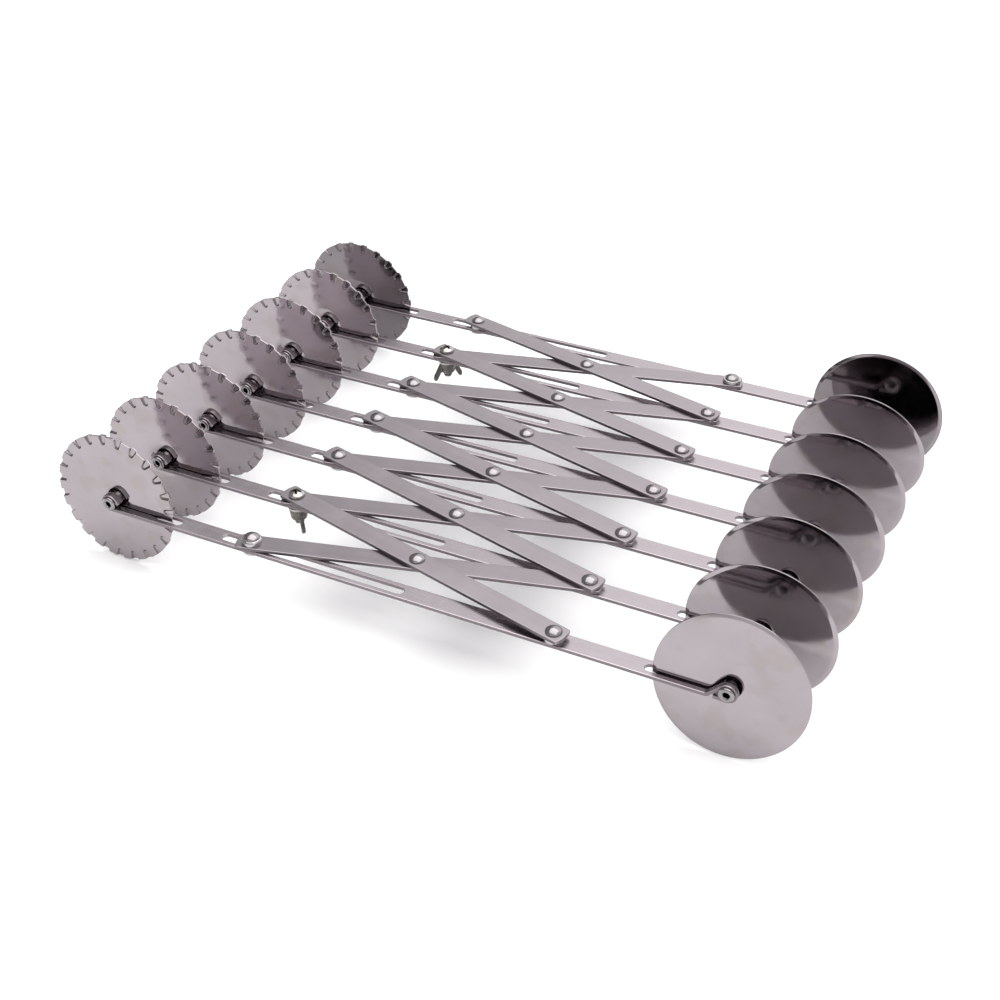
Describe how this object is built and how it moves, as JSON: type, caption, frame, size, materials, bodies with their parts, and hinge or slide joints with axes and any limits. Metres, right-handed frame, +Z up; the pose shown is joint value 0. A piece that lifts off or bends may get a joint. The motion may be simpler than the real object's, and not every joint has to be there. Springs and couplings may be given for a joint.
{
  "type": "expandable pastry cutter",
  "caption": "Expandable lazy-tong dough divider with double-ended arms: fluted cutter wheels at one end, plain cutter wheels at the other, locked by wing nuts.",
  "frame": {"origin": "on the table plane, midway between the two rows of axles and on the middle arm's centre line", "axes": "+X along the arms from the fluted wheels to the plain wheels, +Y across the arms from arm 1 to arm 7, +Z up"},
  "size_m": [0.3204, 0.208, 0.0571],
  "materials": {
    "arm_strip": "satin stainless strip, grain along the strip",
    "link_strip": "satin stainless strip, grain along the strip",
    "polished_disc": "polished stainless sheet",
    "rivet_steel": "bright stainless rivet",
    "washer_steel": "bright turned stainless",
    "screw_steel": "bright plated screw",
    "nickel_nut": "nickel plated casting, slightly dull"
  },
  "bodies": {
    "arm_1": {"arm_1": "arm_strip", "arm_rivets_1": "rivet_steel", "spacer_1_right": "washer_steel"},
    "arm_2": {"arm_2": "arm_strip", "arm_rivets_2": "rivet_steel"},
    "arm_3": {"arm_3": "arm_strip", "arm_rivets_3": "rivet_steel"},
    "arm_4": {"arm_4": "arm_strip", "arm_rivets_4": "rivet_steel"},
    "arm_5": {"arm_5": "arm_strip", "arm_rivets_5": "rivet_steel"},
    "arm_6": {"arm_6": "arm_strip", "arm_rivets_6": "rivet_steel"},
    "arm_7": {"arm_7": "arm_strip", "arm_rivets_7": "rivet_steel", "spacer_7_right": "washer_steel"},
    "upper_link_1": {"upper_link_1": "link_strip"},
    "lower_link_1": {"lower_link_1": "link_strip", "link_rivets_1": "rivet_steel", "tall_spacer_1_left": "washer_steel"},
    "upper_link_2": {"upper_link_2": "link_strip"},
    "lower_link_2": {"lower_link_2": "link_strip", "link_rivets_2": "rivet_steel", "clamp_screw_2": "screw_steel"},
    "upper_link_3": {"upper_link_3": "link_strip"},
    "lower_link_3": {"lower_link_3": "link_strip", "link_rivets_3": "rivet_steel"},
    "upper_link_4": {"upper_link_4": "link_strip"},
    "lower_link_4": {"lower_link_4": "link_strip", "link_rivets_4": "rivet_steel"},
    "upper_link_5": {"upper_link_5": "link_strip"},
    "lower_link_5": {"lower_link_5": "link_strip", "link_rivets_5": "rivet_steel"},
    "upper_link_6": {"upper_link_6": "link_strip", "end_slide_rivet_7": "rivet_steel", "spacer_7_left": "washer_steel"},
    "lower_link_6": {"lower_link_6": "link_strip", "link_rivets_6": "rivet_steel", "clamp_screw_6": "screw_steel"},
    "fluted_wheel_1": {"fluted_wheel_1": "polished_disc"},
    "plain_wheel_1": {"plain_wheel_1": "polished_disc"},
    "fluted_wheel_2": {"fluted_wheel_2": "polished_disc"},
    "plain_wheel_2": {"plain_wheel_2": "polished_disc"},
    "fluted_wheel_3": {"fluted_wheel_3": "polished_disc"},
    "plain_wheel_3": {"plain_wheel_3": "polished_disc"},
    "fluted_wheel_4": {"fluted_wheel_4": "polished_disc"},
    "plain_wheel_4": {"plain_wheel_4": "polished_disc"},
    "fluted_wheel_5": {"fluted_wheel_5": "polished_disc"},
    "plain_wheel_5": {"plain_wheel_5": "polished_disc"},
    "fluted_wheel_6": {"fluted_wheel_6": "polished_disc"},
    "plain_wheel_6": {"plain_wheel_6": "polished_disc"},
    "fluted_wheel_7": {"fluted_wheel_7": "polished_disc"},
    "plain_wheel_7": {"plain_wheel_7": "polished_disc"},
    "clamp_washer_2": {"clamp_washer_2": "washer_steel"},
    "wing_nut_2": {"wing_nut_2": "nickel_nut"},
    "clamp_washer_6": {"clamp_washer_6": "washer_steel"},
    "wing_nut_6": {"wing_nut_6": "nickel_nut"}
  },
  "joints": [
    {"name": "spread", "type": "hinge", "parent": "arm_4", "child": "upper_link_4", "pos_m": [0.065, 0, 0.0275], "axis": [0, 0, -1], "range_deg": [-8.8, 47]},
    {"name": "scissor_4", "type": "hinge", "parent": "upper_link_4", "child": "lower_link_4", "pos_m": [0, 0.0164, 0.0275], "axis": [0, 0, 1], "range_deg": [-17.6, 94]},
    {"name": "arm_5_on_lower_link_4", "type": "hinge", "parent": "lower_link_4", "child": "arm_5", "pos_m": [0.065, 0.0328, 0.0275], "axis": [0, 0, -1], "range_deg": [-8.8, 47]},
    {"name": "upper_link_5_on_arm_5", "type": "hinge", "parent": "arm_5", "child": "upper_link_5", "pos_m": [0.065, 0.0328, 0.0275], "axis": [0, 0, -1], "range_deg": [-8.8, 47]},
    {"name": "scissor_5", "type": "hinge", "parent": "upper_link_5", "child": "lower_link_5", "pos_m": [0, 0.0492, 0.0275], "axis": [0, 0, 1], "range_deg": [-17.6, 94]},
    {"name": "arm_6_on_lower_link_5", "type": "hinge", "parent": "lower_link_5", "child": "arm_6", "pos_m": [0.065, 0.0656, 0.0275], "axis": [0, 0, -1], "range_deg": [-8.8, 47]},
    {"name": "upper_link_6_on_arm_6", "type": "hinge", "parent": "arm_6", "child": "upper_link_6", "pos_m": [0.065, 0.0656, 0.0275], "axis": [0, 0, -1], "range_deg": [-8.8, 47]},
    {"name": "scissor_6", "type": "hinge", "parent": "upper_link_6", "child": "lower_link_6", "pos_m": [0, 0.082, 0.0275], "axis": [0, 0, 1], "range_deg": [-17.6, 94]},
    {"name": "arm_7_on_lower_link_6", "type": "hinge", "parent": "lower_link_6", "child": "arm_7", "pos_m": [0.065, 0.0984, 0.0275], "axis": [0, 0, -1], "range_deg": [-8.8, 47]},
    {"name": "lower_link_3_on_arm_4", "type": "hinge", "parent": "arm_4", "child": "lower_link_3", "pos_m": [0.065, 0, 0.0275], "axis": [0, 0, 1], "range_deg": [-8.8, 47]},
    {"name": "scissor_3", "type": "hinge", "parent": "lower_link_3", "child": "upper_link_3", "pos_m": [0, -0.0164, 0.0275], "axis": [0, 0, -1], "range_deg": [-17.6, 94]},
    {"name": "arm_3_on_upper_link_3", "type": "hinge", "parent": "upper_link_3", "child": "arm_3", "pos_m": [0.065, -0.0328, 0.0275], "axis": [0, 0, 1], "range_deg": [-8.8, 47]},
    {"name": "lower_link_2_on_arm_3", "type": "hinge", "parent": "arm_3", "child": "lower_link_2", "pos_m": [0.065, -0.0328, 0.0275], "axis": [0, 0, 1], "range_deg": [-8.8, 47]},
    {"name": "scissor_2", "type": "hinge", "parent": "lower_link_2", "child": "upper_link_2", "pos_m": [0, -0.0492, 0.0275], "axis": [0, 0, -1], "range_deg": [-17.6, 94]},
    {"name": "arm_2_on_upper_link_2", "type": "hinge", "parent": "upper_link_2", "child": "arm_2", "pos_m": [0.065, -0.0656, 0.0275], "axis": [0, 0, 1], "range_deg": [-8.8, 47]},
    {"name": "lower_link_1_on_arm_2", "type": "hinge", "parent": "arm_2", "child": "lower_link_1", "pos_m": [0.065, -0.0656, 0.0275], "axis": [0, 0, 1], "range_deg": [-8.8, 47]},
    {"name": "scissor_1", "type": "hinge", "parent": "lower_link_1", "child": "upper_link_1", "pos_m": [0, -0.082, 0.0275], "axis": [0, 0, -1], "range_deg": [-17.6, 94]},
    {"name": "arm_1_on_upper_link_1", "type": "hinge", "parent": "upper_link_1", "child": "arm_1", "pos_m": [0.065, -0.0984, 0.0275], "axis": [0, 0, 1], "range_deg": [-8.8, 47]},
    {"name": "fluted_wheel_spin_1", "type": "hinge", "parent": "arm_1", "child": "fluted_wheel_1", "pos_m": [-0.1317, -0.0984, 0.02853], "axis": [0, 0.9969, -0.0785], "continuous": true},
    {"name": "plain_wheel_spin_1", "type": "hinge", "parent": "arm_1", "child": "plain_wheel_1", "pos_m": [0.1317, -0.0984, 0.0285], "axis": [0, 0.988, -0.1547], "continuous": true},
    {"name": "fluted_wheel_spin_2", "type": "hinge", "parent": "arm_2", "child": "fluted_wheel_2", "pos_m": [-0.1317, -0.0656, 0.02854], "axis": [0, 0.9991, -0.0419], "continuous": true},
    {"name": "plain_wheel_spin_2", "type": "hinge", "parent": "arm_2", "child": "plain_wheel_2", "pos_m": [0.1317, -0.0656, 0.0285], "axis": [0, 0.9996, -0.0297], "continuous": true},
    {"name": "fluted_wheel_spin_3", "type": "hinge", "parent": "arm_3", "child": "fluted_wheel_3", "pos_m": [-0.1317, -0.0328, 0.02853], "axis": [0, 0.9997, 0.0227], "continuous": true},
    {"name": "plain_wheel_spin_3", "type": "hinge", "parent": "arm_3", "child": "plain_wheel_3", "pos_m": [0.1317, -0.0328, 0.0285], "axis": [0, 1, 0], "continuous": true},
    {"name": "fluted_wheel_spin_4", "type": "hinge", "parent": "arm_4", "child": "fluted_wheel_4", "pos_m": [-0.1317, 0, 0.02854], "axis": [0, 0.999, 0.0436], "continuous": true},
    {"name": "plain_wheel_spin_4", "type": "hinge", "parent": "arm_4", "child": "plain_wheel_4", "pos_m": [0.1317, 0, 0.0285], "axis": [0, 0.9976, 0.0698], "continuous": true},
    {"name": "fluted_wheel_spin_5", "type": "hinge", "parent": "arm_5", "child": "fluted_wheel_5", "pos_m": [-0.1317, 0.0328, 0.02852], "axis": [0, 0.9999, -0.0157], "continuous": true},
    {"name": "plain_wheel_spin_5", "type": "hinge", "parent": "arm_5", "child": "plain_wheel_5", "pos_m": [0.1317, 0.0328, 0.0285], "axis": [0, 0.9934, 0.1149], "continuous": true},
    {"name": "fluted_wheel_spin_6", "type": "hinge", "parent": "arm_6", "child": "fluted_wheel_6", "pos_m": [-0.1317, 0.0656, 0.0285], "axis": [0, 1, 0], "continuous": true},
    {"name": "plain_wheel_spin_6", "type": "hinge", "parent": "arm_6", "child": "plain_wheel_6", "pos_m": [0.1317, 0.0656, 0.0285], "axis": [0, 0.991, 0.134], "continuous": true},
    {"name": "fluted_wheel_spin_7", "type": "hinge", "parent": "arm_7", "child": "fluted_wheel_7", "pos_m": [-0.1317, 0.0984, 0.02854], "axis": [0, 0.9993, 0.0366], "continuous": true},
    {"name": "plain_wheel_spin_7", "type": "hinge", "parent": "arm_7", "child": "plain_wheel_7", "pos_m": [0.1317, 0.0984, 0.0285], "axis": [0, 0.9996, -0.0279], "continuous": true},
    {"name": "clamp_washer_drop_2", "type": "slide", "parent": "lower_link_2", "child": "clamp_washer_2", "axis": [0, 0, -1], "range_m": [0, 0.0014]},
    {"name": "wing_nut_turn_2", "type": "hinge", "parent": "clamp_washer_2", "child": "wing_nut_2", "pos_m": [-0.065, -0.0656, 0.022], "axis": [0, 0, -1], "range_deg": [0, 721]},
    {"name": "clamp_washer_drop_6", "type": "slide", "parent": "lower_link_6", "child": "clamp_washer_6", "axis": [0, 0, -1], "range_m": [0, 0.0014]},
    {"name": "wing_nut_turn_6", "type": "hinge", "parent": "clamp_washer_6", "child": "wing_nut_6", "pos_m": [-0.065, 0.0656, 0.022], "axis": [0, 0, -1], "range_deg": [0, 721]}
  ],
  "couplings": [
    {"joint": "scissor_4", "follows": "spread", "ratio": 2},
    {"joint": "arm_5_on_lower_link_4", "follows": "spread", "ratio": 1},
    {"joint": "upper_link_5_on_arm_5", "follows": "spread", "ratio": 1},
    {"joint": "scissor_5", "follows": "spread", "ratio": 2},
    {"joint": "arm_6_on_lower_link_5", "follows": "spread", "ratio": 1},
    {"joint": "upper_link_6_on_arm_6", "follows": "spread", "ratio": 1},
    {"joint": "scissor_6", "follows": "spread", "ratio": 2},
    {"joint": "arm_7_on_lower_link_6", "follows": "spread", "ratio": 1},
    {"joint": "lower_link_3_on_arm_4", "follows": "spread", "ratio": 1},
    {"joint": "scissor_3", "follows": "spread", "ratio": 2},
    {"joint": "arm_3_on_upper_link_3", "follows": "spread", "ratio": 1},
    {"joint": "lower_link_2_on_arm_3", "follows": "spread", "ratio": 1},
    {"joint": "scissor_2", "follows": "spread", "ratio": 2},
    {"joint": "arm_2_on_upper_link_2", "follows": "spread", "ratio": 1},
    {"joint": "lower_link_1_on_arm_2", "follows": "spread", "ratio": 1},
    {"joint": "scissor_1", "follows": "spread", "ratio": 2},
    {"joint": "arm_1_on_upper_link_1", "follows": "spread", "ratio": 1},
    {"joint": "wing_nut_turn_2", "follows": "clamp_washer_drop_2", "rad_per_m": 8976},
    {"joint": "wing_nut_turn_6", "follows": "clamp_washer_drop_6", "rad_per_m": 8976}
  ]
}
